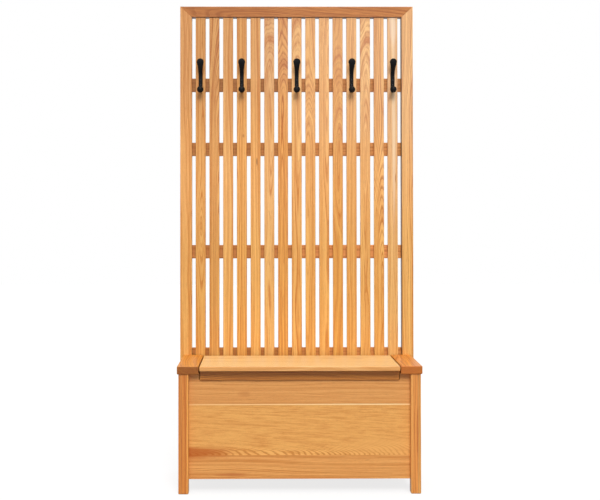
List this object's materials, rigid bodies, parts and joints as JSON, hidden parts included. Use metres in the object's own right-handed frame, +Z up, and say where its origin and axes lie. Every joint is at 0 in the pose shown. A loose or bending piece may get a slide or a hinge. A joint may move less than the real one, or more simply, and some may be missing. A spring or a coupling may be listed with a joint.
{
  "type": "hall bench",
  "caption": "Wooden hall bench: a tall slatted back frame with double coat hooks stands behind a storage chest whose hinged lid is the seat between two arm boards.",
  "frame": {"origin": "on the floor, midway between the back frame's sides and midway between the lid's front edge and the back frame's rear face", "axes": "+Z up, the front looks along -Y, +X to the right as seen from the front"},
  "size_m": [1, 0.432, 2],
  "materials": {
    "oak_frame": "oiled oak, clear satin",
    "oak_slats": "oiled oak, clear satin",
    "oak_battens": "oiled oak, clear satin",
    "oak_chest": "oiled oak, clear satin",
    "oak_lid": "oiled oak, clear satin",
    "oak_arms": "oiled oak, clear satin",
    "oak_floor": "sanded oak, unpolished",
    "beech": "plain beech",
    "hook_iron": "black powder coat, satin",
    "black_screws": "black, satin",
    "hinge_brass": "brushed",
    "brass_screws": "brushed",
    "zinc_steel": "zinc plated"
  },
  "bodies": {
    "stand": {"arm_dowels": "beech", "arm_left": "oak_arms", "arm_right": "oak_arms", "batten_screws": "zinc_steel", "bolt_sleeves": "zinc_steel", "chest_back": "oak_chest", "chest_floor": "oak_floor", "coat_hook_1": "hook_iron", "coat_hook_2": "hook_iron", "coat_hook_3": "hook_iron", "coat_hook_4": "hook_iron", "coat_hook_5": "hook_iron", "floor_cleats": "oak_chest", "frame_bolts": "zinc_steel", "front_panel": "oak_chest", "hinge_chest_leaves": "hinge_brass", "hinge_chest_screws": "brass_screws", "hinge_pins": "hinge_brass", "hook_batten": "oak_battens", "hook_batten_screws": "zinc_steel", "hook_screws": "black_screws", "leg_front_left": "oak_chest", "leg_front_right": "oak_chest", "leg_rear_left": "oak_chest", "leg_rear_right": "oak_chest", "lower_batten": "oak_battens", "middle_batten": "oak_battens", "mitre_splines": "beech", "seat_batten": "oak_battens", "side_panel_left": "oak_chest", "side_panel_right": "oak_chest", "slat_01": "oak_slats", "slat_02": "oak_slats", "slat_03": "oak_slats", "slat_04": "oak_slats", "slat_05": "oak_slats", "slat_06": "oak_slats", "slat_07": "oak_slats", "slat_08": "oak_slats", "slat_09": "oak_slats", "slat_10": "oak_slats", "slat_11": "oak_slats", "slat_12": "oak_slats", "slat_13": "oak_slats", "slat_14": "oak_slats", "slat_15": "oak_slats", "stile_left": "oak_frame", "stile_right": "oak_frame", "top_rail": "oak_frame", "upper_batten": "oak_battens"},
    "lid": {"lid_board": "oak_lid", "lid_apron": "oak_lid", "lid_batten_left": "oak_lid", "lid_batten_right": "oak_lid", "apron_dowels": "beech", "lid_batten_screws": "zinc_steel", "hinge_lid_leaves": "hinge_brass", "hinge_lid_screws": "brass_screws"}
  },
  "joints": [
    {"name": "lid_hinge", "type": "hinge", "parent": "stand", "child": "lid", "pos_m": [0, 0.1555, 0.48685], "axis": [-1, 0, 0], "range_deg": [0, 90.5]}
  ]
}
